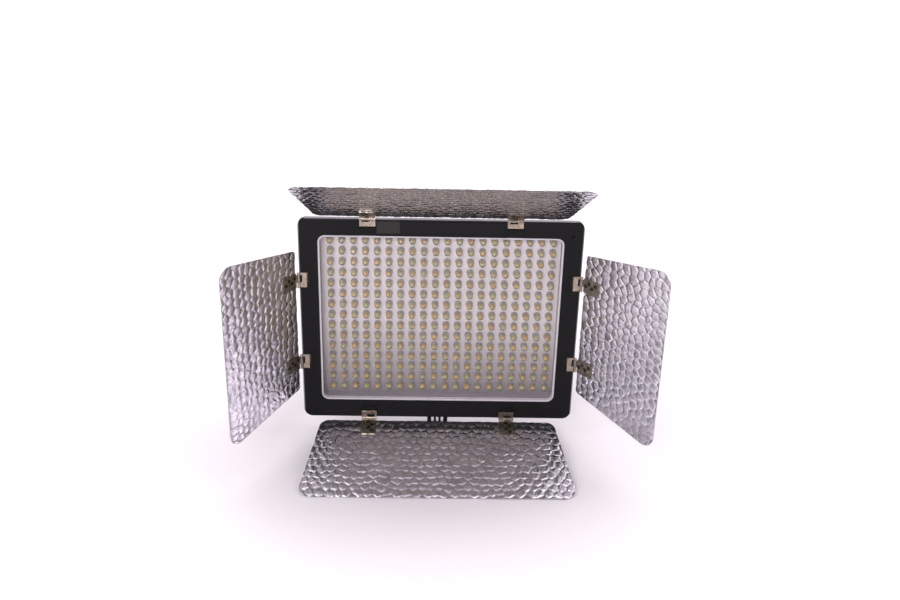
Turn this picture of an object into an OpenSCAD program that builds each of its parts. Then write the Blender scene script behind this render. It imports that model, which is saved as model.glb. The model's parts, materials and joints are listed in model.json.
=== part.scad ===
// LED panel light with four folding barn doors.
// +X is to the right seen from the front, -Y is the way the light shines and +Z is up.
// The origin is the centre of the pivot bore under the panel. The light stands on the
// pivot fingers and on the front edge of the bottom door.

/* [Front frame] */
// Width of the front frame
bezel_w = 216; // [212:1:230]
// Height of the front frame
bezel_h = 171; // [168:1:180]
// Depth of the front frame
bezel_depth = 12; // [11:0.5:13]
// Depth of the rim that stands out all round its front
rim_t = 3.6; // [3.4:0.1:4]
// Radius of its outer corners
bezel_r = 7; // [6.5:0.5:8]
// Thickness of its front face
face_t = 3; // [2.8:0.1:3.2]
// Width of the light opening
opening_w = 187; // [184:1:188]
// Height of the light opening
opening_h = 142; // [139:1:143]
// Rise of the opening's centre above the frame's centre
opening_rise = 0.8; // [0:0.1:1.5]

/* [Lamps] */
// Columns of lamps
lamp_cols = 20; // [16:1:20]
// Rows of lamps
lamp_rows = 15; // [12:1:15]
// Distance between neighbouring lamps
lamp_pitch = 9; // [8:0.1:9.1]
// Radius of one lamp
lamp_r = 2.5; // [2:0.1:2.6]

/* [Barn doors] */
// Reach of a door's outer edge from its hinge axis
door_reach = 84; // [70:1:85]
// Width of the top and bottom doors at the hinge
wide_inner = 188; // [180:1:196]
// Width of the top and bottom doors at the outer edge
wide_outer = 213; // [196:1:214]
// Height of the side doors at the hinge
tall_inner = 118.4; // [110:0.2:126]
// Height of the side doors at the outer edge
tall_outer = 147; // [126:1:147]
// Sheet thickness
door_t = 1; // [0.6:0.1:1.2]
// How far the top door stands open
top_open = 123.5; // [90:0.5:180]
// How far the right door stands open
right_open = 128; // [90:0.5:180]
// How far the bottom door stands open
bottom_open = 103; // [92:0.5:110]
// How far the left door stands open
left_open = 122; // [90:0.5:180]

/* [Hinges] */
// Distance of each top and bottom hinge from the middle
spread_wide = 55.5; // [50:0.5:58]
// Distance of each side hinge from the middle
spread_tall = 35; // [30:0.5:40]
// Width of a hinge
hinge_w = 12; // [11:0.5:12.5]
// Length of a hinge leaf from the axis
leaf_len = 17.4; // [15:0.1:20]
// Radius of a hinge pin
pin_r = 0.6; // [0.5:0.05:0.6]

/* [Pivot fingers] */
// Depth of the pivot axis behind the front of the frame
pivot_depth = 26; // [26:0.5:28]
// Radius of the finger ends
finger_r = 7.3; // [6.5:0.1:7.5]
// Radius of the pivot bore
bore_r = 2.6; // [2.1:0.1:3.2]
// Thickness of the two outer fingers
outer_finger = 3.4; // [3:0.1:3.6]
// Thickness of the two inner fingers
inner_finger = 1.85; // [1.6:0.05:2]
// Gap between fingers
finger_gap = 2.1; // [1.8:0.1:2.3]

/* [Controls] */
// Radius of the dimmer knob
knob_r = 16; // [12:0.5:18]
// Radius of a push button
button_r = 4; // [3:0.5:4.5]
// Distance between push buttons
button_pitch = 13; // [12:0.5:14]

/* [Hidden] */
$fn = 48;

// Sides, as quarter turns from the top, seen from the front
TOP = 0;
RIGHT = 1;
BOTTOM = 2;
LEFT = 3;

// Hinge layout, from the outer edge and the front of the frame
hinge_out = 0.2;
hinge_front = 0.9;
knuckle_r = 1.2;
strip_t = 0.6;
slot_w = 5.8;
slot_shift = 1.2;
knuckle_w = 5.4;
fit_gap = 0.05;
strip_len = 6.2;
leg_reach = 5;
sheet_start = 1.8;
eyelet_first = 4;
eyelet_step = 3.3;
eyelet_zigzag = 1.4;
eyelet_r = 1.05;

// Per side: distance from panel centre to hinge axis, hinge spread, opening, half widths, slot side
axis_reach = [bezel_h / 2 + hinge_out, bezel_w / 2 + hinge_out,
              bezel_h / 2 + hinge_out, bezel_w / 2 + hinge_out];
spread = [spread_wide, spread_tall, spread_wide, spread_tall];
open_angle = [top_open, right_open, bottom_open, left_open];
half_inner = [wide_inner / 2, tall_inner / 2, wide_inner / 2, tall_inner / 2];
half_outer = [wide_outer / 2, tall_outer / 2, wide_outer / 2, tall_outer / 2];
slot_side = [1, 1, 1, -1];
outer_corner_r = 10;
inner_corner_r = [8, 3, 8, 3];

// The bottom door's front edge and the finger ends touch one floor
floor_drop = axis_reach[BOTTOM] - door_reach * cos(bottom_open)
             + (knuckle_r + door_t) * sin(bottom_open);
panel_rise = floor_drop - finger_r;

// Depths behind the front of the frame
skirt_inset = 3.5;
skirt_t = 2.5;
bezel_edge = 1.6;
flange_inset = 6;
stack_w = 193;
stack_h = 148;
flange_back = 18;
shelf_y = 15.9;
inner_back = 27.8;
back_y = 30;
board_y = 19;
board_t = 1.6;
board_top = board_y + board_t;
post_r = 3.3;
post_x = 97.6;
post_z = 75.3;

// Places on the back, as X and Z
display_at = [62, 22];
button_row = [62, -6];
knob_at = [-62, 14];
switch_at = [-62, -34];
socket_at = [-80, -34];
latch_at = [0, -23];
plate_z = [-31, 45];
lead_at = [6, 37];
lamp_middle = [0.7, opening_rise + 0.35];
board_holes = [for (z = [56, -56], x = [-71.5, 16.5, 38.5, 82.5]) [x, z]];
plate_holes = [[-14, 40], [14, 40], [-14, -26], [14, -26]];
block_hole_x = 10.8;
pad_w = 26;
pad_bottom = 76;

module panel() {
    translate([0, -pivot_depth, panel_rise])
        children();
}

// A flat shape drawn in X and Z, thickened from depth near to depth far
module slab(near, far) {
    translate([0, far, 0])
        rotate([90, 0, 0])
            linear_extrude(far - near)
                children();
}

// A shape turned about an axis that points backwards, starting at depth near
module turned(place, near) {
    translate([place[0], near, place[1]])
        rotate([-90, 0, 0])
            children();
}

module rounded_rect(w, h, r) {
    square([w - 2 * r, h], center = true);
    square([w, h - 2 * r], center = true);
    for (x = [-1, 1], z = [-1, 1])
        translate([x * (w / 2 - r), z * (h / 2 - r)])
            circle(r);
}

// A slot with round ends, across or along
module round_slot(length, width) {
    square([width, length - width], center = true);
    for (end = [-1, 1])
        translate([0, end * (length - width) / 2])
            circle(width / 2, $fn = 24);
}

// Hinge coordinates: X along the axis, Y away from it in the door's plane, Z outwards
module hinge_frame(side, open) {
    panel()
        rotate([0, 90 * side, 0])
            translate([0, -hinge_front, axis_reach[side]])
                rotate([-open, 0, 0])
                    rotate([90, 180, 0])
                        children();
}

module each_hinge(side) {
    for (end = [-1, 1])
        translate([end * spread[side], 0, 0])
            children();
}

module along_x(length, r) {
    rotate([0, 90, 0])
        cylinder(h = length, r = r, center = true);
}

module cross_recess(size, depth) {
    for (turn = [0, 90])
        rotate([0, 0, turn])
            translate([-size / 2, -size / 8, -1])
                cube([size, size / 4, depth + 1]);
}

// A pan-head screw along +Z with its head below Z = 0
module screw(head_r, head_t, shaft_r, length) {
    difference() {
        union() {
            translate([0, 0, -head_t])
                cylinder(h = head_t, r1 = head_r * 0.8, r2 = head_r);
            translate([0, 0, -0.01])
                cylinder(h = length, r = shaft_r);
        }
        translate([0, 0, -head_t])
            cross_recess(head_r * 1.1, head_t * 0.6);
    }
}

module clip_recess(side) {
    recess_w = hinge_w + 0.6;
    recess_depth = 0.3;
    for (end = [-1, 1])
        translate([end * spread[side], 0, 0]) {
            translate([-recess_w / 2, -hinge_out - 1, -hinge_front - recess_depth])
                cube([recess_w, 20, 1]);
            translate([slot_shift * slot_side[side] - slot_w / 2, -2, -knuckle_r - 0.4])
                cube([slot_w, 4.6, 1]);
        }
}

module clip_slot() {
    depth = leg_reach + 0.4;
    translate([-hinge_w / 2 - 0.2, strip_len - 0.8, -hinge_front - depth])
        cube([hinge_w + 0.4, 1.6, depth + 1]);
}

module clip_ridge() {
    translate([-hinge_w / 2, strip_len + 1.2, -hinge_front - 1])
        cube([hinge_w, 2, 1.4]);
}

// Section across the frame's rim: X is depth, with the front corners rounded
module bezel_section(half) {
    translate([bezel_edge, -half])
        square([rim_t - bezel_edge, 2 * half]);
    translate([0, bezel_edge - half])
        square([rim_t, 2 * (half - bezel_edge)]);
    for (side = [-1, 1])
        translate([bezel_edge, side * (half - bezel_edge)])
            circle(bezel_edge);
}

// A bar each way and a turned corner at each end make a block with a rounded front edge
module bezel_block() {
    run_x = bezel_w / 2 - bezel_r;
    run_z = bezel_h / 2 - bezel_r;
    translate([-run_x, 0, 0])
        rotate([90, 0, 90])
            linear_extrude(2 * run_x)
                bezel_section(bezel_h / 2);
    translate([0, 0, -run_z])
        rotate([0, 0, 90])
            linear_extrude(2 * run_z)
                bezel_section(bezel_w / 2);
    for (x = [-1, 1], z = [-1, 1])
        turned([x * run_x, z * run_z], 0)
            rotate_extrude()
                intersection() {
                    rotate([0, 0, 90])
                        bezel_section(bezel_r);
                    translate([0, -1])
                        square(rim_t + bezel_r);
                }
}

// The frame's outline drawn in by the same distance all round
module frame_outline(inset) {
    rounded_rect(bezel_w - 2 * inset, bezel_h - 2 * inset, bezel_r - min(inset, bezel_r - 1));
}

module front_bezel() {
    color("#1c1c1d") {
        difference() {
            union() {
                difference() {
                    panel() {
                        bezel_block();
                        slab(rim_t - 0.4, bezel_depth)
                            frame_outline(skirt_inset);
                    }
                    panel()
                        slab(face_t, bezel_depth + 1)
                            frame_outline(skirt_inset + skirt_t);
                    for (side = [TOP : LEFT])
                        hinge_frame(side, 0)
                            clip_recess(side);
                }
                for (side = [TOP : LEFT])
                    hinge_frame(side, 0)
                        each_hinge(side)
                            clip_ridge();
                panel()
                    for (x = [-1, 1], z = [-1, 1])
                        turned([x * post_x, z * post_z], face_t - 0.5)
                            cylinder(h = bezel_depth - face_t + 0.5, r = post_r);
            }
            for (side = [TOP : LEFT])
                hinge_frame(side, 0)
                    each_hinge(side)
                        clip_slot();
            panel() {
                translate([0, 0, opening_rise])
                    slab(-1, face_t + 1)
                        rounded_rect(opening_w, opening_h, 6);
                strip_place()
                    square([strip_size[0] + window_w + 0.4, strip_size[1] + 0.2]);
                for (x = [-1, 1], z = [-1, 1])
                    turned([x * post_x, z * post_z], 6)
                        cylinder(h = 20, r = 1.25);
                turned([99, 74], -1)
                    cylinder(h = 2, r = 1.5);
            }
        }
    }
}

// The blank strip and the receiver window share one pocket between the top hinges
strip_size = [78.6, 9.5];
window_w = 17.6;
strip_left = -48.7;
strip_low = 74;
strip_depth = 0.8;

module strip_place() {
    translate([strip_left - 0.2, 0, strip_low - 0.1])
        slab(-1, strip_depth)
            children();
}

module name_strip() {
    color("#0b0b0c")
        panel()
            translate([strip_left + window_w, 0, strip_low])
                slab(-0.15, strip_depth - 0.02)
                    square(strip_size);
}

module receiver_window() {
    color("#2a2826")
        panel()
            translate([strip_left, 0, strip_low])
                slab(-0.1, strip_depth - 0.02)
                    square([window_w - 0.1, strip_size[1]]);
}

module diffuser_frame() {
    color("#d9d6d4")
        panel()
            translate([0, 0, opening_rise])
                difference() {
                    union() {
                        slab(1, face_t + 0.2)
                            rounded_rect(opening_w - 0.4, opening_h - 0.4, 5.8);
                        slab(face_t + 0.05, face_t + 1.5)
                            rounded_rect(stack_w, stack_h, 8);
                    }
                    slab(0, face_t + 2)
                        rounded_rect(opening_w - 3, opening_h - 3, 4.5);
                }
}

module diffuser_sheet() {
    color("#e8e4e2", 0.4)
        panel()
            translate([0, 0, opening_rise])
                slab(4.55, 6.5)
                    rounded_rect(stack_w, stack_h, 8);
}

module reflector_box() {
    color("#eceae8")
        panel()
            translate([0, 0, opening_rise])
                slab(6.6, 14)
                    difference() {
                        rounded_rect(stack_w, stack_h, 8);
                        rounded_rect(opening_w - 2, opening_h - 2, 5);
                    }
}

module lamp_board() {
    color("#dcd6d8")
        panel()
            translate([0, 0, opening_rise])
                slab(14.1, 15.7)
                    rounded_rect(stack_w, stack_h, 8);
}

// One lamp: a flange, a barrel and a dome, standing on the board and facing -Y
module lamp() {
    barrel = 4.9;
    rotate([90, 0, 0])
        rotate_extrude($fn = 24)
            polygon(concat([[0, 0], [lamp_r + 0.4, 0], [lamp_r + 0.4, 1], [lamp_r, 1]],
                           [for (turn = [0 : 15 : 75])
                               [lamp_r * cos(turn), barrel + lamp_r * sin(turn)]],
                           [[0, barrel + lamp_r]]));
}

// Lamps alternate like the squares of a chessboard: kind 0 is warm and kind 1 is cool
module lamps(kind) {
    panel()
        for (row = [0 : lamp_rows - 1], col = [0 : lamp_cols - 1])
            if ((row + col) % 2 == kind)
                translate([lamp_middle[0] + (col - (lamp_cols - 1) / 2) * lamp_pitch, 14.08,
                           lamp_middle[1] - (row - (lamp_rows - 1) / 2) * lamp_pitch])
                    lamp();
}

module warm_lamps() {
    color("#c8a468")
        lamps(0);
}

module cool_lamps() {
    color("#c9c48e")
        lamps(1);
}

module housing_outside() {
    hull() {
        slab(bezel_depth + 0.1, bezel_depth + 0.6)
            frame_outline(skirt_inset + 0.3);
        slab(flange_back - 0.5, flange_back)
            rounded_rect(bezel_w - 2 * flange_inset, bezel_h - 2 * flange_inset, 5);
    }
    hull() {
        slab(flange_back - 0.5, flange_back + 0.5)
            rounded_rect(190, 146, 10, $fn = 32);
        slab(28, 28.5)
            rounded_rect(187.5, 143.5, 9, $fn = 32);
        slab(29.6, back_y)
            rounded_rect(184, 140, 8, $fn = 32);
    }
    translate([-pad_w / 2, flange_back - 1, -pad_bottom])
        cube([pad_w, back_y - flange_back + 1, 6]);
}

module housing_inside() {
    slab(bezel_depth - 1, shelf_y)
        difference() {
            rounded_rect(199, 154, 2.5);
            for (x = [-1, 1], z = [-1, 1])
                translate([x * post_x, z * post_z])
                    circle(post_r + 0.2);
        }
    hull() {
        slab(shelf_y - 1, shelf_y)
            rounded_rect(185.6, 141.6, 8, $fn = 32);
        slab(27, inner_back)
            rounded_rect(183, 139, 7, $fn = 32);
    }
}

module vents() {
    for (x = [-77 : 11 : 77])
        translate([x, 58])
            round_slot(12, 2.4);
    for (x = [-77 : 11 : 77])
        if (abs(x) > pad_w / 2 + 5)
            translate([x, -58])
                round_slot(9, 2.4);
}

function button_x(index) = button_row[0] + (index - 1.5) * button_pitch;

module rear_holes() {
    slab(inner_back - 1, back_y + 1) {
        vents();
        translate(display_at)
            square([38, 18], center = true);
        translate(switch_at)
            square([13.4, 19.4], center = true);
        translate(latch_at)
            square([12, 8], center = true);
    }
    slab(28.75, back_y + 1)
        translate(display_at)
            rounded_rect(44, 24, 2);
    for (index = [0 : 3])
        turned([button_x(index), button_row[1]], inner_back - 1)
            cylinder(h = 4, r = button_r + 0.15);
    turned(knob_at, inner_back - 1)
        cylinder(h = 4, r = 3.6);
    turned(socket_at, inner_back - 1)
        cylinder(h = 4, r = 5.1);
    for (x = [-1, 1])
        turned([x * lead_at[0], lead_at[1]], inner_back - 1)
            cylinder(h = 4, r = 1.1);
    for (place = plate_holes)
        turned(place, inner_back - 1)
            cylinder(h = 4, r = 1);
    for (x = [-1, 1], z = [-1, 1])
        turned([x * post_x, z * post_z], bezel_depth)
            cylinder(h = 8, r = 1.4);
    for (x = [-1, 1])
        translate([x * block_hole_x, pivot_depth - 1, -pad_bottom - 1])
            cylinder(h = 4.6, r = 1);
}

module rear_housing() {
    color("#232324")
        panel()
            difference() {
                union() {
                    difference() {
                        housing_outside();
                        housing_inside();
                    }
                    for (place = board_holes)
                        turned(place, board_top + 0.05)
                            cylinder(h = back_y - board_top - 1, r = 3);
                }
                rear_holes();
                for (place = board_holes)
                    turned(place, board_top - 1)
                        cylinder(h = 7, r = 1);
            }
}

module case_screws() {
    color("#3b3b3e")
        panel()
            for (x = [-1, 1], z = [-1, 1])
                translate([x * post_x, flange_back + 0.02, z * post_z])
                    rotate([90, 0, 0])
                        screw(2.8, 1.6, 1.2, 11);
}

module driver_board() {
    color("#1f5a35")
        panel()
            difference() {
                slab(board_y, board_top)
                    translate([-31, 0])
                        rounded_rect(114, 120, 2);
                for (index = [0, 1, 4, 5])
                    turned(board_holes[index], board_y - 1)
                        cylinder(h = 4, r = 1.3);
            }
}

module driver_chips() {
    color("#202124")
        panel() {
            for (x = [-40, -22, -4], z = [-45, 50])
                translate([x, board_top + 0.02, z])
                    cube([8, 1.6, 6]);
            translate([-34, board_top + 0.02, -4])
                cube([12, 1.6, 12]);
        }
}

module coils() {
    color("#4a3a2c")
        panel()
            for (z = [-30, -12, 28])
                turned([-14, z], board_top + 0.02)
                    difference() {
                        cylinder(h = 5.2, r = 6);
                        translate([0, 0, 4])
                            cylinder(h = 2, r = 2.2);
                    }
}

module capacitors() {
    color("#33343a")
        panel()
            for (z = [-18, 4, 22])
                turned([16, z], board_top + 0.02)
                    cylinder(h = 6.3, r = 4);
}

module control_board() {
    color("#1f5a35")
        panel()
            difference() {
                slab(board_y, board_top)
                    translate([59, 0])
                        rounded_rect(58, 120, 2);
                for (index = [2, 3, 6, 7])
                    turned(board_holes[index], board_y - 1)
                        cylinder(h = 4, r = 1.3);
            }
}

module tact_switches() {
    color("#2b2b2e")
        panel()
            for (index = [0 : 3]) {
                translate([button_x(index) - 3, board_top + 0.02, button_row[1] - 3])
                    cube([6, 2.5, 6]);
                turned([button_x(index), button_row[1]], board_top + 2)
                    cylinder(h = 1.4, r = 1.6);
            }
}

module board_screws() {
    color("#a9a9ac")
        panel()
            for (place = board_holes)
                turned(place, board_y - 0.02)
                    screw(2.2, 1.3, 0.98, 7);
}

module display_module() {
    color("#2c2a2a")
        panel()
            slab(board_top + 0.02, 28.6)
                translate(display_at)
                    square([37, 17], center = true);
}

module display_window() {
    color("#17181a")
        panel()
            slab(28.8, back_y + 0.1)
                translate(display_at)
                    rounded_rect(43.7, 23.7, 1.9);
}

// A cap that stands out of the back, a flange that keeps it in and a stem
module push_button(index) {
    color("#4b4c50")
        panel()
            turned([button_x(index), button_row[1]], 0) {
                translate([0, 0, 26.6])
                    cylinder(h = 4.4, r = button_r);
                translate([0, 0, 31])
                    cylinder(h = 0.6, r1 = button_r, r2 = button_r - 0.6);
                translate([0, 0, 26.2])
                    cylinder(h = 1.3, r = button_r + 0.9);
                translate([0, 0, 24.8])
                    cylinder(h = 1.5, r = 1.4);
            }
}

module mode_button() {
    push_button(0);
}

module colour_button() {
    push_button(1);
}

module channel_button() {
    push_button(2);
}

module group_button() {
    push_button(3);
}

shaft_r = 3;
shaft_start = 24;

module encoder_body() {
    color("#8f9194")
        panel()
            difference() {
                union() {
                    translate([knob_at[0] - 6.2, board_top + 0.02, knob_at[1] - 6.2])
                        cube([12.4, 6.6, 12.4]);
                    turned(knob_at, 27)
                        cylinder(h = 6, r = 3.5);
                }
                turned(knob_at, shaft_start - 0.1)
                    cylinder(h = 12, r = shaft_r + fit_gap);
            }
}

module encoder_nut() {
    color("#b9babd")
        panel()
            turned(knob_at, back_y + 0.05)
                difference() {
                    cylinder(h = 2, r = 5.6, $fn = 6);
                    translate([0, 0, -1])
                        cylinder(h = 4, r = 3.5);
                }
}

module encoder_shaft() {
    color("#c4c5c8")
        panel()
            turned(knob_at, shaft_start)
                cylinder(h = 17, r = shaft_r);
}

module dimmer_knob() {
    grooves = 36;
    color("#2a2a2c")
        panel()
            turned(knob_at, back_y + 1)
                difference() {
                    union() {
                        cylinder(h = 11, r = knob_r, $fn = 96);
                        translate([0, 0, 11])
                            cylinder(h = 1.5, r1 = knob_r, r2 = knob_r - 1.5, $fn = 96);
                    }
                    for (groove = [0 : grooves - 1])
                        rotate([0, 0, groove * 360 / grooves])
                            translate([knob_r + 0.1, 0, 2])
                                cylinder(h = 12, r = 0.6, $fn = 16);
                    translate([0, 0, -1])
                        cylinder(h = 5, r = 7.5);
                    translate([0, 0, -1])
                        cylinder(h = 11.1, r = shaft_r);
                    translate([-0.6, knob_r * 0.45, 12])
                        cube([1.2, knob_r * 0.4, 2]);
                }
}

rocker_tilt = 8;
rocker_axis_y = 29;

module switch_frame() {
    color("#161617")
        panel()
            translate([switch_at[0], 0, switch_at[1]])
                difference() {
                    union() {
                        slab(21, back_y + 0.3)
                            square([13, 19], center = true);
                        slab(back_y + 0.05, back_y + 1.3)
                            rounded_rect(16, 22, 1.5);
                    }
                    slab(24, back_y + 3)
                        square([9.8, 15.8], center = true);
                    translate([0, rocker_axis_y, 0])
                        along_x(12, 1 + fit_gap);
                }
}

module power_rocker() {
    color("#141415")
        panel()
            translate([switch_at[0], rocker_axis_y, switch_at[1]])
                rotate([rocker_tilt, 0, 0]) {
                    rotate([90, 0, 90])
                        translate([0, 0, -4.7])
                            linear_extrude(9.4)
                                polygon([[-2, -7.2], [2.6, -7.2], [1.9, 0], [2.6, 7.2], [-2, 7.2]]);
                    along_x(11.6, 1);
                }
}

module dc_socket() {
    color("#18181a")
        panel()
            turned(socket_at, 0)
                union() {
                    difference() {
                        union() {
                            translate([0, 0, board_top + 0.05])
                                cylinder(h = 9.9, r = 5);
                            translate([0, 0, back_y + 0.05])
                                cylinder(h = 0.8, r = 6.4);
                        }
                        translate([0, 0, board_top + 1.2])
                            cylinder(h = 12, r = 2.8);
                    }
                    translate([0, 0, board_top + 1])
                        cylinder(h = 8, r = 1);
                }
}

// Rails that a camcorder-style battery slides onto, from below
module battery_plate() {
    plate_h = plate_z[1] - plate_z[0];
    color("#1d1d1e")
        panel()
            difference() {
                union() {
                    slab(back_y + 0.05, 32.5)
                        translate([0, (plate_z[0] + plate_z[1]) / 2])
                            rounded_rect(46, plate_h, 3);
                    for (side = [0, 1])
                        mirror([side, 0, 0]) {
                            translate([19.4, 32, plate_z[0] + 8])
                                cube([1.8, 4.2, plate_h - 14]);
                            translate([17.9, 34.8, plate_z[0] + 8])
                                cube([2, 1.4, plate_h - 14]);
                        }
                    translate([-10, 32, 31])
                        cube([20, 5.5, 12]);
                }
                for (x = [-6, 0, 6])
                    translate([x - 0.5, 33.9, 30])
                        cube([1, 2.2, 9]);
                for (x = [-1, 1])
                    turned([x * lead_at[0], lead_at[1]], back_y - 1)
                        cylinder(h = 5, r = 1.1);
                slab(back_y - 1, 34)
                    translate(latch_at)
                        square([12, 8], center = true);
                for (place = plate_holes)
                    turned(place, back_y - 1)
                        cylinder(h = 4, r = 1.2);
            }
}

module battery_plate_screws() {
    color("#8e8f92")
        panel()
            for (place = plate_holes)
                translate([place[0], 32.52, place[1]])
                    rotate([90, 0, 0])
                        screw(2.2, 1.2, 0.98, 4.4);
}

module battery_contacts() {
    color("#d8b45a")
        panel()
            for (x = [-6, 0, 6])
                translate([x - 0.4, 34.05, 25])
                    cube([0.8, 1.9, 13.9]);
}

module battery_leads() {
    color("#a33228")
        panel()
            for (x = [-1, 1])
                turned([x * lead_at[0], lead_at[1]], board_top + 0.02)
                    cylinder(h = 34.02 - board_top, r = 0.9);
}

// A sprung catch that locks the battery and is pressed in to free it
module battery_latch() {
    color("#3a3a3d")
        panel()
            translate([latch_at[0], 0, latch_at[1]]) {
                slab(27, 33.5)
                    square([11.6, 7.6], center = true);
                translate([-5.8, 33.4, -3.8])
                    rotate([90, 0, 90])
                        linear_extrude(11.6)
                            polygon([[0, 0], [0, 7.6], [0.6, 7.6], [2, 3], [2, 0]]);
                slab(26.2, 27.6)
                    square([14, 10], center = true);
            }
}

function finger_start(index) =
    [0, outer_finger + finger_gap, outer_finger + inner_finger + 2 * finger_gap,
     outer_finger + 2 * inner_finger + 3 * finger_gap][index];

comb_w = 2 * outer_finger + 2 * inner_finger + 3 * finger_gap;
block_top = pad_bottom + 0.05;

module pivot_block() {
    plate_bottom = panel_rise - block_top - 3;
    color("#1a1a1b")
        difference() {
            union() {
                translate([-pad_w / 2, -finger_r, plate_bottom])
                    cube([pad_w, 2 * finger_r, 3]);
                for (index = [0 : 3])
                    translate([finger_start(index) - comb_w / 2, 0, 0])
                        rotate([90, 0, 90])
                            linear_extrude(index % 3 == 0 ? outer_finger : inner_finger) {
                                circle(finger_r, $fn = 96);
                                translate([-finger_r, 0])
                                    square([2 * finger_r, plate_bottom + 1]);
                            }
            }
            along_x(comb_w + 4, bore_r);
            for (x = [-1, 1])
                translate([x * block_hole_x, -1, plate_bottom - 1])
                    cylinder(h = 5, r = 1.2);
        }
}

module pivot_block_screws() {
    color("#8e8f92")
        for (x = [-1, 1])
            translate([x * block_hole_x, -1, panel_rise - block_top - 3.02])
                screw(1.9, 1.2, 0.98, 6);
}

// The fixed half of one hinge: a strip on the frame's face with a leg that hooks through it
module clip(shift) {
    difference() {
        union() {
            translate([-hinge_w / 2, 0, -knuckle_r])
                cube([hinge_w, strip_len, strip_t]);
            translate([-hinge_w / 2, strip_len - strip_t, -hinge_front - leg_reach])
                cube([hinge_w, strip_t, leg_reach]);
            translate([-hinge_w / 2, strip_len - strip_t, -hinge_front - leg_reach])
                cube([hinge_w, 2.6, strip_t]);
            along_x(hinge_w, knuckle_r);
        }
        along_x(hinge_w + 2, pin_r + 0.01);
        translate([shift - slot_w / 2, -2, -knuckle_r - 1])
            cube([slot_w, 4.6, 4]);
    }
}

module clips(side) {
    color("#c6bcae")
        hinge_frame(side, 0)
            each_hinge(side)
                clip(slot_shift * slot_side[side]);
}

module pins(side) {
    color("#8f8a84")
        hinge_frame(side, 0)
            each_hinge(side)
                along_x(hinge_w + 0.4, pin_r);
}

// Four eyelets in a zigzag hold each leaf to its door
module each_eyelet(shift) {
    for (index = [0 : 3])
        translate([shift + eyelet_zigzag * (index % 2 == 0 ? -1 : 1),
                   eyelet_first + index * eyelet_step, 0])
            children();
}

// The swinging half of one hinge
module leaf(shift) {
    leaf_low = knuckle_r - strip_t;
    difference() {
        union() {
            translate([shift, 0, 0])
                along_x(knuckle_w, knuckle_r);
            translate([shift - knuckle_w / 2, 0, leaf_low])
                cube([knuckle_w, 3, strip_t]);
            translate([0, (1.6 + leaf_len) / 2, leaf_low])
                linear_extrude(strip_t)
                    rounded_rect(hinge_w, leaf_len - 1.6, 1, $fn = 24);
        }
        translate([shift, 0, 0])
            along_x(knuckle_w + 2, pin_r + fit_gap);
        each_eyelet(shift)
            cylinder(h = 5, r = eyelet_r);
    }
}

module leaves(side) {
    color("#8a8178")
        hinge_frame(side, open_angle[side])
            each_hinge(side)
                leaf(slot_shift * slot_side[side]);
}

module eyelet() {
    rim = 0.25;
    low = knuckle_r - strip_t - rim;
    high = knuckle_r + door_t;
    difference() {
        union() {
            translate([0, 0, low])
                cylinder(h = high - low + rim, r = eyelet_r);
            translate([0, 0, low])
                cylinder(h = rim, r = eyelet_r + 0.4);
            translate([0, 0, high])
                cylinder(h = rim, r = eyelet_r + 0.4);
        }
        translate([0, 0, low - 1])
            cylinder(h = 5, r = 0.75);
    }
}

module eyelets(side) {
    color("#5b5048")
        hinge_frame(side, open_angle[side])
            each_hinge(side)
                each_eyelet(slot_shift * slot_side[side])
                    eyelet($fn = 24);
}

// Half width of the rounded outline's corner centre at distance y from the axis
function corner_x(side, y, r) =
    let (slant = atan((half_outer[side] - half_inner[side]) / (door_reach - sheet_start)))
    half_inner[side] + (y - sheet_start) * tan(slant) - r / cos(slant);

module door_corner(side, y, r) {
    for (end = [-1, 1])
        translate([end * corner_x(side, y, r), y, 0])
            cylinder(h = door_t, r = r, $fn = 64);
}

module door(side) {
    color("#a9a3a8")
        hinge_frame(side, open_angle[side])
            difference() {
                translate([0, 0, knuckle_r])
                    hull() {
                        door_corner(side, door_reach - outer_corner_r, outer_corner_r);
                        door_corner(side, sheet_start + inner_corner_r[side],
                                    inner_corner_r[side]);
                    }
                each_hinge(side)
                    each_eyelet(slot_shift * slot_side[side])
                        cylinder(h = 5, r = eyelet_r);
            }
}

front_bezel();
name_strip();
receiver_window();
diffuser_frame();
diffuser_sheet();
reflector_box();
lamp_board();
warm_lamps();
cool_lamps();
rear_housing();
case_screws();
driver_board();
driver_chips();
coils();
capacitors();
control_board();
tact_switches();
board_screws();
display_module();
display_window();
mode_button();
colour_button();
channel_button();
group_button();
encoder_body();
encoder_nut();
encoder_shaft();
dimmer_knob();
switch_frame();
power_rocker();
dc_socket();
battery_plate();
battery_plate_screws();
battery_contacts();
battery_leads();
battery_latch();
pivot_block();
pivot_block_screws();
clips(TOP);  // top_clips
clips(RIGHT);  // right_clips
clips(BOTTOM);  // bottom_clips
clips(LEFT);  // left_clips
pins(TOP);  // top_pins
pins(RIGHT);  // right_pins
pins(BOTTOM);  // bottom_pins
pins(LEFT);  // left_pins
leaves(TOP);  // top_leaves
leaves(RIGHT);  // right_leaves
leaves(BOTTOM);  // bottom_leaves
leaves(LEFT);  // left_leaves
eyelets(TOP);  // top_eyelets
eyelets(RIGHT);  // right_eyelets
eyelets(BOTTOM);  // bottom_eyelets
eyelets(LEFT);  // left_eyelets
door(TOP);  // top_door
door(RIGHT);  // right_door
door(BOTTOM);  // bottom_door
door(LEFT);  // left_door
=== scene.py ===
"""Looks of the LED panel light: node materials, pebbled barn doors, floor, lights and camera."""

import json
from math import atan, cos, pi, radians, sin, tan

import bmesh
import bpy
import numpy as np
from mathutils import Matrix, Vector


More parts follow.
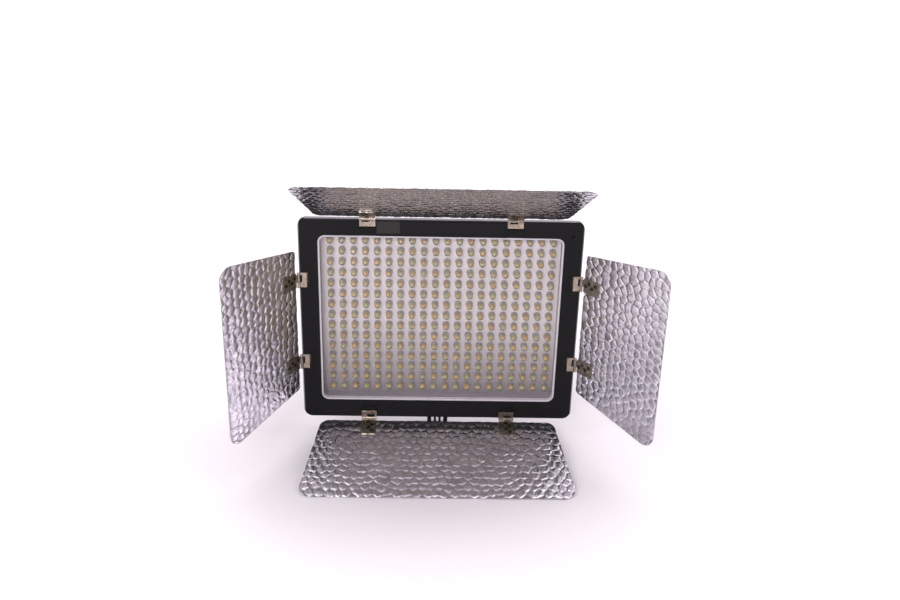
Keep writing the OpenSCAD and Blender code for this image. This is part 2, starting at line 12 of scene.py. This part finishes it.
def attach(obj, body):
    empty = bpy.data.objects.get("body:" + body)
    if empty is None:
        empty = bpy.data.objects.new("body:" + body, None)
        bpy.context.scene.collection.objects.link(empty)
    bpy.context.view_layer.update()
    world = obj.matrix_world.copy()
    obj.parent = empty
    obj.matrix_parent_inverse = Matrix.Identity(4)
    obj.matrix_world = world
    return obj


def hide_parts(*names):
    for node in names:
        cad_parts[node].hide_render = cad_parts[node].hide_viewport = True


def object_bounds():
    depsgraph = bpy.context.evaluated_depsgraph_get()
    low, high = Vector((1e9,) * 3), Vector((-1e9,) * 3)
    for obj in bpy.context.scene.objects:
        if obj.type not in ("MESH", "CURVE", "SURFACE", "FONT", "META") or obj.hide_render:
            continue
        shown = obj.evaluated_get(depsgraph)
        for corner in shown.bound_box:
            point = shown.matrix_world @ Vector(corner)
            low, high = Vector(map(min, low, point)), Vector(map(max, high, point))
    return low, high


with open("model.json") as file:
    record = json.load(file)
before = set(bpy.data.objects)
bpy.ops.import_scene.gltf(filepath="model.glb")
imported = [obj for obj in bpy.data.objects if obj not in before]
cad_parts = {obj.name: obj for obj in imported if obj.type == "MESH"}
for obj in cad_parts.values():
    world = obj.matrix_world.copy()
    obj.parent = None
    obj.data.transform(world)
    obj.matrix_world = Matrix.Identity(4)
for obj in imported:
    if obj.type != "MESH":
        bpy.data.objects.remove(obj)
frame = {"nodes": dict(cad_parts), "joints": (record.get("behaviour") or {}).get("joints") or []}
cad_low, cad_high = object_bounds()
MM = 0.001


# ---------------------------------------------------------------- materials

class Shading:
    """A Principled material whose colour, roughness and normal come from nodes."""

    def __init__(self, name, metallic=0.0, **sockets):
        self.material = bpy.data.materials.new(name)
        self.material.use_nodes = True
        self.nodes = self.material.node_tree.nodes
        self.links = self.material.node_tree.links
        self.shader = self.nodes["Principled BSDF"]
        self.shader.inputs["Metallic"].default_value = metallic
        for socket, value in sockets.items():
            self.shader.inputs[socket.replace("_", " ")].default_value = value
        self.place = self.nodes.new("ShaderNodeTexCoord").outputs["Object"]

    def node(self, kind, **values):
        made = self.nodes.new("ShaderNode" + kind)
        for name, value in values.items():
            if isinstance(value, bpy.types.NodeSocket):
                self.links.new(value, made.inputs[name.replace("_", " ")])
            else:
                made.inputs[name.replace("_", " ")].default_value = value
        return made

    def stretched(self, stretch):
        if stretch == (1, 1, 1):
            return self.place
        return self.node("Mapping", Vector=self.place, Scale=stretch).outputs[0]

    def noise(self, size, detail=3.0, stretch=(1, 1, 1), rough=0.5):
        """A noise whose features are about that size, in metres."""
        made = self.node("TexNoise", Vector=self.stretched(stretch), Scale=1 / size,
                         Detail=detail, Roughness=rough)
        return made.outputs["Fac"]

    def ramp(self, value, low, high, to_low=0.0, to_high=1.0):
        made = self.node("MapRange", Value=value)
        for index, number in enumerate((low, high, to_low, to_high), 1):
            made.inputs[index].default_value = number
        return made.outputs[0]

    def math(self, kind, a, b=0.0):
        made = self.nodes.new("ShaderNodeMath")
        made.operation = kind
        for index, value in enumerate((a, b)):
            if isinstance(value, bpy.types.NodeSocket):
                self.links.new(value, made.inputs[index])
            else:
                made.inputs[index].default_value = value
        return made.outputs[0]

    def mix(self, share, a, b):
        made = self.nodes.new("ShaderNodeMix")
        made.data_type = "RGBA"
        for socket, value in ((made.inputs[0], share), (made.inputs[6], a), (made.inputs[7], b)):
            if isinstance(value, bpy.types.NodeSocket):
                self.links.new(value, socket)
            else:
                socket.default_value = (*value, 1) if isinstance(value, tuple) else value
        return made.outputs[2]

    def rounded_normal(self, radius):
        """The normal with edges rounded to that radius, and how close the point is to an edge."""
        rounded = self.nodes.new("ShaderNodeBevel")
        rounded.samples = 4
        rounded.inputs["Radius"].default_value = radius
        true = self.nodes.new("ShaderNodeNewGeometry").outputs["Normal"]
        dot = self.nodes.new("ShaderNodeVectorMath")
        dot.operation = "DOT_PRODUCT"
        self.links.new(rounded.outputs[0], dot.inputs[0])
        self.links.new(true, dot.inputs[1])
        return rounded.outputs[0], self.ramp(dot.outputs["Value"], 0.995, 0.85)

    def bump(self, height, distance, strength=1.0, normal=None):
        made = self.node("Bump", Height=height, Distance=distance, Strength=strength)
        if normal is not None:
            self.links.new(normal, made.inputs["Normal"])
        return made.outputs[0]

    def finish(self, colour, roughness, normal):
        for name, value in (("Base Color", colour), ("Roughness", roughness), ("Normal", normal)):
            if value is not None:
                self.links.new(value, self.shader.inputs[name])
        return self.material


def scaled(colour, factor):
    return tuple(min(1.0, c * factor) for c in colour)


def moulded(name, colour, rough, grain=0.5 * MM, relief=0.02 * MM, shade=0.12, spread=0.08,
            edge=0.25 * MM, wear=0.35, worn=3.0, **sockets):
    """Moulded plastic or a painted part: fine grain, blotchy gloss and lighter worn edges."""
    sockets.setdefault("Specular_IOR_Level", 0.28)
    s = Shading(name, **sockets)
    blotch = s.noise(9 * MM, 4)
    tone = s.mix(blotch, scaled(colour, 1 - shade), scaled(colour, 1 + shade))
    normal, near_edge = s.rounded_normal(edge)
    rubbed = s.math("MULTIPLY", near_edge, s.ramp(s.noise(2.5 * MM, 3), 0.45, 0.7, 0, wear))
    tone = s.mix(rubbed, tone, scaled(colour, worn))
    gloss = s.math("ADD", s.ramp(blotch, 0.3, 0.7, rough - spread, rough + spread),
                   s.ramp(s.noise(grain * 3, 2), 0.3, 0.7, -spread / 2, spread / 2))
    return s.finish(tone, gloss, s.bump(s.noise(grain, 2), relief, 0.6, normal))


def metal(name, colour, rough, brushed=(1, 1, 1), grain=0.3 * MM, relief=0.01 * MM, shade=0.15,
          spread=0.1, edge=0.12 * MM, tarnish=None, edge_tone_and_shade=1.35, **sockets):
    """Bare or plated metal: rolling marks, uneven gloss and tinted edges: brighter by default, and
    darkened to a painted outline of shade on the clips and leaves.
    """
    s = Shading(name, metallic=1.0, **sockets)
    blotch = s.noise(3 * MM, 4, rough=0.6)
    tone = s.mix(s.ramp(blotch, 0.35, 0.65), tarnish or scaled(colour, 1 - shade), colour)
    normal, near_edge = s.rounded_normal(edge)
    # edge tint: brightens the edges, and a factor below 1 paints a dark outline of shade along them
    tone = s.mix(s.math("MULTIPLY", near_edge, 0.5), tone, scaled(colour, edge_tone_and_shade))
    gloss = s.ramp(s.noise(grain * 2, 3, brushed), 0.3, 0.7, rough - spread, rough + spread)
    return s.finish(tone, gloss, s.bump(s.noise(grain, 3, brushed), relief, 0.5, normal))


def pebbled_metal(name):
    """Embossed aluminium sheet: rolled grain, faint scratches and handling marks on bright metal."""
    s = Shading(name, metallic=1.0)
    blotch = s.noise(14 * MM, 4, rough=0.6)
    tone = s.mix(s.ramp(blotch, 0.35, 0.65), (0.56, 0.543, 0.577), (0.67, 0.651, 0.687))
    smear = s.noise(6 * MM, 5, (1, 0.4, 1), 0.65)
    gloss = s.ramp(smear, 0.3, 0.7, 0.15, 0.25)
    relief = s.noise(1.1 * MM, 3)
    return s.finish(tone, gloss, s.bump(relief, 0.012 * MM, 0.5))


def lens(name, colour, painted_shade):
    """A lamp's cast dome: tinted phosphor with painted shade where it faces down and on the lower side
    of its barrel, and grey at its flange.
    """
    s = Shading(name, Coat_Weight=0.6, Coat_Roughness=0.08)
    facing = s.node("SeparateXYZ", Vector=s.nodes.new("ShaderNodeNewGeometry").outputs["Normal"])
    place = s.node("SeparateXYZ", Vector=s.place)
    mottle = s.noise(2.4 * MM, 2)
    tone = s.mix(s.ramp(mottle, 0.3, 0.7), scaled(colour, 0.9), scaled(colour, 1.08))
    # painted shade: the barrel's sides go from a dimmed phosphor tint on top to the dark shade colour
    # underneath
    barrel = s.mix(s.ramp(facing.outputs["Z"], -0.3, 0.7), painted_shade, scaled(colour, 0.72))
    tone = s.mix(s.ramp(facing.outputs["Y"], -0.5, -0.05), tone, barrel)
    # painted shade: the dome turns dark where its normal points down, as if lit from above
    tone = s.mix(s.ramp(facing.outputs["Z"], -0.58, 0.05), painted_shade, tone)
    tone = s.mix(s.ramp(place.outputs["Y"], -14.6 * MM, -13.2 * MM), tone, (0.30, 0.26, 0.27))
    gloss = s.ramp(s.noise(0.8 * MM, 2), 0.3, 0.7, 0.18, 0.34)
    return s.finish(tone, gloss, s.bump(mottle, 0.03 * MM, 0.3))


def sheet_cover(name):
    """The clear cover with a faint etched haze: mostly see-through, with a broad soft gloss."""
    s = Shading(name, Alpha=0.08, IOR=3.4)
    haze = s.noise(18 * MM, 3)
    tone = s.mix(haze, (0.30, 0.27, 0.30), (0.40, 0.37, 0.40))
    gloss = s.ramp(haze, 0.3, 0.7, 0.22, 0.34)
    return s.finish(tone, gloss, s.bump(s.noise(0.7 * MM, 2), 0.02 * MM, 0.4))


def circuit(name, colour):
    """Solder resist over copper: faint tracks and a slight gloss."""
    s = Shading(name)
    tracks = s.node("TexBrick", Vector=s.place, Scale=220.0, Mortar_Size=0.04).outputs["Fac"]
    tone = s.mix(tracks, colour, scaled(colour, 1.9))
    return s.finish(tone, s.ramp(s.noise(3 * MM), 0.3, 0.7, 0.3, 0.5), s.bump(tracks, 0.03 * MM, 0.5))


def board(name):
    """The lamp board's white solder resist, patchy, with painted shade darkening it towards its lower
    end.
    """
    s = Shading(name)
    patch = s.noise(30 * MM, 3)
    place = s.node("SeparateXYZ", Vector=s.place)
    tone = s.mix(patch, (0.74, 0.70, 0.69), (0.82, 0.78, 0.77))
    # painted shade: below 96 mm height the board mixes in a dark grey, up to three quarters of it by
    # 32 mm
    tone = s.mix(s.ramp(place.outputs["Z"], 32 * MM, 96 * MM, 0.75, 0), tone, (0.09, 0.075, 0.085))
    specks = s.ramp(s.noise(1.2 * MM, 3), 0.62, 0.72, 0, 0.25)
    tone = s.mix(specks, tone, (0.6, 0.55, 0.5))
    gloss = s.ramp(patch, 0.3, 0.7, 0.35, 0.55)
    return s.finish(tone, gloss, s.bump(s.noise(1.0 * MM, 2), 0.03 * MM, 0.4))


def frame_black(name, colour, rough):
    """The frame's satin plastic, with lighter worn edges and a painted highlight along the outer rim.
    """
    s = Shading(name, Specular_IOR_Level=0.08)
    blotch = s.noise(9 * MM, 4)
    tone = s.mix(blotch, scaled(colour, 0.86), scaled(colour, 1.14))
    normal, near_edge = s.rounded_normal(0.25 * MM)
    place = s.node("SeparateXYZ", Vector=s.place)
    across = s.math("ABSOLUTE", place.outputs["X"])
    outer = s.math("MAXIMUM", s.ramp(across, FRAME_SIDE - 1.2 * MM, FRAME_SIDE - 0.6 * MM),
                   s.ramp(place.outputs["Z"], FRAME_TOP - 0.6 * MM, FRAME_TOP - 0.3 * MM))
    painted_rim_highlight = s.math("MULTIPLY", outer, s.ramp(s.noise(14 * MM, 3), 0.3, 0.6, 0.75, 1.0))
    rubbed = s.math("MULTIPLY", near_edge, s.ramp(s.noise(2.5 * MM, 3), 0.45, 0.7, 0, 0.3))
    tone = s.mix(rubbed, tone, scaled(colour, 4))
    # painted highlight: a lighter grey, with slightly lower roughness, along the outer rim where the
    # rounded edge catches the light
    tone = s.mix(painted_rim_highlight, tone, (0.20, 0.20, 0.21))
    gloss = s.math("ADD", s.ramp(blotch, 0.3, 0.7, rough - 0.08, rough + 0.08),
                   s.ramp(painted_rim_highlight, 0, 1, 0, -0.1))
    return s.finish(tone, gloss, s.bump(s.noise(0.35 * MM, 2), 0.02 * MM, 0.6, normal))


FRAME_SIDE, FRAME_TOP = 108 * MM, 184.94 * MM
BLACK = (0.0085, 0.0085, 0.0088)
MATERIALS = {
    "frame_plastic": frame_black("satin_black", BLACK, 0.36),
    "housing_plastic": moulded("grained_black", scaled(BLACK, 1.25), 0.5, grain=0.55 * MM,
                               relief=0.05 * MM),
    "pivot_plastic": moulded("pivot_black", scaled(BLACK, 1.3), 0.42, relief=0.03 * MM),
    "plate_plastic": moulded("plate_black", scaled(BLACK, 1.1), 0.4, relief=0.03 * MM),
    "gloss_black": moulded("gloss_black", (0.007, 0.007, 0.0075), 0.12, relief=0.004 * MM,
                           spread=0.04, edge=0.12 * MM, Specular_IOR_Level=0.11),
    "receiver_tint": moulded("receiver_tint", (0.022, 0.019, 0.019), 0.16, relief=0.006 * MM,
                             spread=0.04, edge=0.12 * MM, Specular_IOR_Level=0.18),
    "rim_white": moulded("rim_white", (0.55, 0.53, 0.56), 0.3, worn=1.2, relief=0.01 * MM),
    "frosted_sheet": sheet_cover("clear_cover"),
    "reflector_white": moulded("reflector_white", (0.34, 0.30, 0.34), 0.45, worn=1.1),
    "board_white": board("lamp_board_white"),
    # each lens's last colour is the dark painted shade for its downward-facing parts
    "warm_lens": lens("warm_phosphor", (0.42, 0.28, 0.078), (0.036, 0.021, 0.013)),
    "cool_lens": lens("cool_phosphor", (0.355, 0.31, 0.125), (0.032, 0.025, 0.017)),
    "circuit_green": circuit("circuit_green", (0.01, 0.06, 0.025)),
    "component_black": moulded("component_black", (0.015, 0.015, 0.016), 0.45),
    "ferrite": moulded("ferrite", (0.04, 0.038, 0.036), 0.6, relief=0.05 * MM),
    "capacitor_sleeve": moulded("capacitor_sleeve", (0.02, 0.03, 0.09), 0.3),
    "dark_screw": metal("dark_screw", (0.09, 0.09, 0.095), 0.35),
    "plain_screw": metal("plain_screw", (0.55, 0.54, 0.53), 0.3),
    "display_black": moulded("display_glass", (0.006, 0.007, 0.008), 0.07, relief=0.002 * MM,
                             spread=0.03, edge=0.15 * MM, wear=0.1),
    "button_grey": moulded("button_grey", (0.10, 0.10, 0.105), 0.45, worn=1.8),
    "encoder_metal": metal("encoder_metal", (0.55, 0.54, 0.52), 0.3),
    "knob_plastic": moulded("knob_black", scaled(BLACK, 1.3), 0.38, relief=0.03 * MM),
    "switch_plastic": moulded("switch_black", scaled(BLACK, 1.1), 0.3),
    "rocker_plastic": moulded("rocker_black", scaled(BLACK, 1.4), 0.28),
    "socket_plastic": moulded("socket_black", scaled(BLACK, 1.2), 0.35),
    "contact_gold": metal("contact_gold", (0.75, 0.55, 0.25), 0.22),
    "lead_red": moulded("lead_red", (0.35, 0.02, 0.015), 0.4, worn=1.3),
    "latch_plastic": moulded("latch_grey", (0.05, 0.05, 0.052), 0.4, worn=2.0),
    # the clip and leaf edges are darkened to a painted outline of shade
    "clip_nickel": metal("clip_nickel", (0.36, 0.30, 0.245), 0.24, tarnish=(0.22, 0.18, 0.15),
                         edge=0.2 * MM, edge_tone_and_shade=0.5),
    "pin_steel": metal("pin_steel", (0.55, 0.53, 0.50), 0.25),
    "leaf_nickel": metal("leaf_nickel", (0.33, 0.30, 0.25), 0.28, tarnish=(0.21, 0.19, 0.15),
                         edge=0.3 * MM, edge_tone_and_shade=0.25),
    "eyelet_dark": metal("eyelet_dark", (0.05, 0.04, 0.032), 0.4),
    "pebbled_aluminium": pebbled_metal("pebbled_aluminium"),
}

for thing in frame["nodes"].values():
    for worn_slot in thing.material_slots:
        worn_slot.material = MATERIALS[worn_slot.material.name.split(".")[0]]


# ---------------------------------------------------------------- barn doors

SHEET_START = 1.8 * MM      # of the sheet from the hinge axis
REACH = 84 * MM
OUTER_R = 10 * MM
SHEET_LOW = 1.2 * MM        # of the lit face above the hinge axis
SHEET_T = 0.38 * MM
RELIEF = 0.6 * MM
STEP = 0.62 * MM
PITCH = 7.2 * MM            # of the pebbles
GROOVE = 1.15 * MM          # from a groove's middle to the flat of a pebble
EYELET_FIRST, EYELET_STEP, EYELET_ZIGZAG = 4 * MM, 3.3 * MM, 1.4 * MM
HOLE_R = 1.25 * MM
DOORS = {
    "top": (94, 106.5, 8, 55.5, 1),
    "right": (59.2, 73.5, 3, 35, 1),
    "bottom": (94, 106.5, 8, 55.5, 1),
    "left": (59.2, 73.5, 3, 35, -1),
}
JOINTS = {j["name"]: j for j in frame["joints"]}


def hinge_matrix(side):
    """Row frame of a door at rest: X along the hinge, Y away from it in the sheet, Z outwards."""
    joint = JOINTS[side + "_door_hinge"]
    along = Vector(joint["axis"])
    back = Vector((0, 1, 0))
    out = back.cross(along)
    opening = radians(180 - joint["range_deg"][1])
    away = -sin(opening) * back - cos(opening) * out
    up = -cos(opening) * back + sin(opening) * out
    turn = Matrix((along, away, up)).transposed().to_4x4()
    return Matrix.Translation(joint["pos_m"]) @ turn


def half_width(y, inner, outer, inner_r):
    """Half the sheet's width at each distance y, with its rounded corners."""
    slant = atan((outer - inner) / (REACH - SHEET_START))
    half = inner + (y - SHEET_START) * tan(slant)
    for centre, r, sign in ((REACH - OUTER_R, OUTER_R, 1), (SHEET_START + inner_r, inner_r, -1)):
        middle = inner + (centre - SHEET_START) * tan(slant) - r / cos(slant)
        rise = np.clip(sign * (y - centre), -r, r)
        arc = middle + np.sqrt(np.maximum(r * r - rise * rise, 0))
        touch = -sign * r * sin(slant)
        half = np.where(sign * (y - centre) > touch, np.minimum(half, arc), half)
    return half


def pebble_height(x, y, seed, half_x):
    """Embossing height from 0 in the grooves to 1 on the pebbles, at points x, y."""
    draw = np.random.default_rng(seed)
    rows = int((REACH + 4 * PITCH) / (PITCH * 0.87))
    cols = int((2 * half_x + 4 * PITCH) / PITCH)
    gx, gy = np.meshgrid(np.arange(cols) * PITCH, np.arange(rows) * PITCH * 0.87)
    gx = gx + (np.arange(rows)[:, None] % 2) * PITCH / 2 - half_x - 2 * PITCH
    gy = gy - 2 * PITCH
    spots = np.stack([gx.ravel(), gy.ravel()], 1)
    spots += draw.uniform(-0.25, 0.25, spots.shape) * PITCH
    lean = draw.normal(0, 0.018, spots.shape)
    tall = draw.uniform(0.85, 1.0, len(spots))
    points = np.stack([x, y], 1)
    height = np.empty(len(points))
    for start in range(0, len(points), 4000):
        p = points[start:start + 4000]
        far = ((p[:, None] - spots[None]) ** 2).sum(2)
        near = np.argpartition(far, 6, axis=1)[:, :7]
        near = np.take_along_axis(near, np.argsort(np.take_along_axis(far, near, 1), 1), 1)
        d = np.take_along_axis(far, near, 1)
        own = near[:, 0]
        gap = np.full(len(p), 1.0)
        for k in range(1, 7):
            apart = np.linalg.norm(spots[near[:, k]] - spots[own], axis=1)
            gap = np.minimum(gap, (d[:, k] - d[:, 0]) / (2 * apart))
        groove = np.clip(gap / GROOVE, 0, 1)
        dome = np.sqrt(1 - (1 - groove) ** 2)
        crown = 1 - d[:, 0] / (0.75 * PITCH) ** 2
        tilt = ((p - spots[own]) * lean[own]).sum(1) / (0.5 * MM)
        height[start:start + 4000] = tall[own] * dome * (0.58 + 0.42 * crown) + tilt * groove
    return np.clip(height, 0, 1)


def pebbled_door(side, inner, outer, inner_r, spread, slot_side):
    """The sheet as two embossed skins joined at the rim and round the eyelet holes."""
    inner, outer, inner_r, spread = inner * MM, outer * MM, inner_r * MM, spread * MM
    corner = REACH - OUTER_R + OUTER_R * np.sin(np.linspace(0, pi / 2, 15))
    first = SHEET_START + inner_r * (1 - np.cos(np.linspace(0, pi / 2, 10)))
    middle = np.linspace(first[-1], corner[0], int((corner[0] - first[-1]) / STEP) + 1)
    ys = np.concatenate([first[:-1], middle[:-1], corner])
    across = np.linspace(-1, 1, int(2 * outer / STEP) // 2 * 2 + 1)
    half = half_width(ys, inner, outer, inner_r)
    y = np.repeat(ys, len(across))
    x = (half[:, None] * across[None]).ravel()
    holes = [(end * spread + 1.2 * MM * slot_side + EYELET_ZIGZAG * (-1 if i % 2 == 0 else 1),
              EYELET_FIRST + i * EYELET_STEP) for end in (-1, 1) for i in range(4)]
    for hx, hy in holes:
        dx, dy = x - hx, y - hy
        r = np.hypot(dx, dy)
        ring = (r > 0.62 * HOLE_R) & (r < HOLE_R + 0.35 * STEP)
        x[ring] = hx + dx[ring] / r[ring] * HOLE_R
        y[ring] = hy + dy[ring] / r[ring] * HOLE_R
    height = pebble_height(x, y, sum(map(ord, side)), outer)
    low = SHEET_LOW + RELIEF * (1 - height)
    top = np.stack([x, y, low], 1)
    under = np.stack([x, y, low + SHEET_T], 1)
    count, wide = len(x), len(across)
    j, i = np.meshgrid(np.arange(len(ys) - 1), np.arange(wide - 1), indexing="ij")
    a = (j * wide + i).ravel()
    quads = np.stack([a, a + 1, a + wide + 1, a + wide], 1)
    centre = top[quads, :2].mean(1)
    keep = np.ones(len(quads), bool)
    for hx, hy in holes:
        keep &= np.hypot(centre[:, 0] - hx, centre[:, 1] - hy) > 0.86 * HOLE_R
    quads = quads[keep]
    edges = [(q[k], q[(k + 1) % 4]) for q in quads.tolist() for k in range(4)]
    edge_set = set(edges)
    rim = [(b, a, a + count, b + count) for a, b in edges if (b, a) not in edge_set]
    faces = [q[::-1] for q in quads.tolist()] + (quads + count).tolist() + rim
    mesh = bpy.data.meshes.new(side + "_pebbled_sheet")
    mesh.from_pydata(np.concatenate([top, under]).tolist(), [], faces)
    mesh.transform(hinge_matrix(side))
    mesh.update()
    mesh.polygons.foreach_set("use_smooth", [True] * len(mesh.polygons))
    mesh.set_sharp_from_angle(angle=radians(60))
    bm = bmesh.new()
    bm.from_mesh(mesh)
    bmesh.ops.delete(bm, geom=[v for v in bm.verts if not v.link_faces], context="VERTS")
    bmesh.ops.recalc_face_normals(bm, faces=bm.faces)
    bm.to_mesh(mesh)
    bm.free()
    mesh.materials.append(MATERIALS["pebbled_aluminium"])
    sheet = bpy.data.objects.new(side + "_pebbled_sheet", mesh)
    bpy.context.scene.collection.objects.link(sheet)
    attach(sheet, side + "_door")
    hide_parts(side + "_door")
    return sheet


for side, sizes in DOORS.items():
    pebbled_door(side, *sizes)


# ---------------------------------------------------------------- stage

def stage_material():
    """The pale floor with painted light and shadow: it emits more light with distance so that it runs
    into the white background, and none near the object, which leaves a painted shadow round it.
    """
    s = Shading("pale_floor")
    tone = s.mix(s.noise(0.4, 3), (0.58, 0.56, 0.58), (0.60, 0.58, 0.60))
    far = s.nodes.new("ShaderNodeVectorMath")
    far.operation = "LENGTH"
    s.links.new(s.place, far.inputs[0])
    s.shader.inputs["Emission Color"].default_value = (1, 0.98, 1, 1)
    # painted shadow and light: no emission within 0.12 m of the origin, so the floor stays darker
    # round the object, then emission rising with distance
    painted_light_and_shadow = s.math("ADD", s.ramp(far.outputs["Value"], 0.12, 0.26, 0, 0.26),
                  s.ramp(far.outputs["Value"], 0.3, 1.3, 0, 0.7))
    s.links.new(painted_light_and_shadow, s.shader.inputs["Emission Strength"])
    gloss = s.ramp(s.noise(0.05, 3), 0.3, 0.7, 0.55, 0.65)
    return s.finish(tone, gloss, s.bump(s.noise(2 * MM), 0.02 * MM, 0.2))


floor_z = cad_low.z
mesh = bpy.data.meshes.new("floor")
FLOOR_HALF = 12.0
corners = [(x * FLOOR_HALF, y * FLOOR_HALF, floor_z) for x, y in ((-1, -1), (1, -1), (1, 1), (-1, 1))]
mesh.from_pydata(corners, [], [(0, 1, 2, 3)])
mesh.materials.append(stage_material())
floor = bpy.data.objects.new("floor", mesh)
bpy.context.scene.collection.objects.link(floor)


def softbox(name, place, aim, size, power, colour=(1.0, 0.95, 0.985)):
    lamp = bpy.data.lights.new(name, "AREA")
    lamp.shape = "RECTANGLE"
    lamp.size, lamp.size_y = size
    lamp.energy = power
    lamp.color = colour
    made = bpy.data.objects.new(name, lamp)
    made.location = place
    made.rotation_euler = (Vector(aim) - Vector(place)).to_track_quat("-Z", "Y").to_euler()
    bpy.context.scene.collection.objects.link(made)


softbox("overhead", (0.0, 0.2, 1.9), (0, 0, 0), (3.4, 2.9), 37)
softbox("key", (-1.2, -0.9, 1.3), (0, 0, 0.1), (0.6, 0.6), 8)
softbox("front", (-0.35, -1.6, 0.95), (0, 0, 0.1), (0.5, 0.5), 17)
softbox("fill", (1.2, 0.1, 0.9), (0, 0, 0.1), (0.6, 0.6), 7)

world = bpy.data.worlds.new("studio")
bpy.context.scene.world = world
world.use_nodes = True
nodes, links = world.node_tree.nodes, world.node_tree.links
background = nodes["Background"]
where = nodes.new("ShaderNodeTexCoord")
split = nodes.new("ShaderNodeSeparateXYZ")
links.new(where.outputs["Generated"], split.inputs[0])
depth = nodes.new("ShaderNodeMapRange")
depth.inputs[1].default_value, depth.inputs[2].default_value = -0.6, 0.5
links.new(split.outputs["Y"], depth.inputs[0])
tint = nodes.new("ShaderNodeMix")
tint.data_type = "RGBA"
tint.inputs[6].default_value = (0.17, 0.155, 0.167, 1)
tint.inputs[7].default_value = (1.05, 0.98, 1.04, 1)
links.new(depth.outputs[0], tint.inputs[0])
path = nodes.new("ShaderNodeLightPath")
seen = nodes.new("ShaderNodeMix")
seen.data_type = "RGBA"
seen.inputs[7].default_value = (1.1, 1.1, 1.1, 1)
links.new(path.outputs["Is Camera Ray"], seen.inputs[0])
links.new(tint.outputs[2], seen.inputs[6])
links.new(seen.outputs[2], background.inputs["Color"])

bpy.context.scene.view_settings.view_transform = "Standard"

# ---------------------------------------------------------------- camera

camera_data = bpy.data.cameras.new("camera")
camera_data.lens = 42.54
camera_data.sensor_width = 36
camera_data.clip_start = 0.05
camera = bpy.data.objects.new("camera", camera_data)
YAW, TILT, ROLL = radians(-1.43), radians(24.66), radians(1.44)
turned = (Matrix.Rotation(YAW, 4, "Z") @ Matrix.Rotation(pi / 2 - TILT, 4, "X")
          @ Matrix.Rotation(ROLL, 4, "Z"))
camera.matrix_world = Matrix.Translation((-0.01095, -0.7719, 0.4619)) @ turned
bpy.context.scene.collection.objects.link(camera)
bpy.context.scene.camera = camera
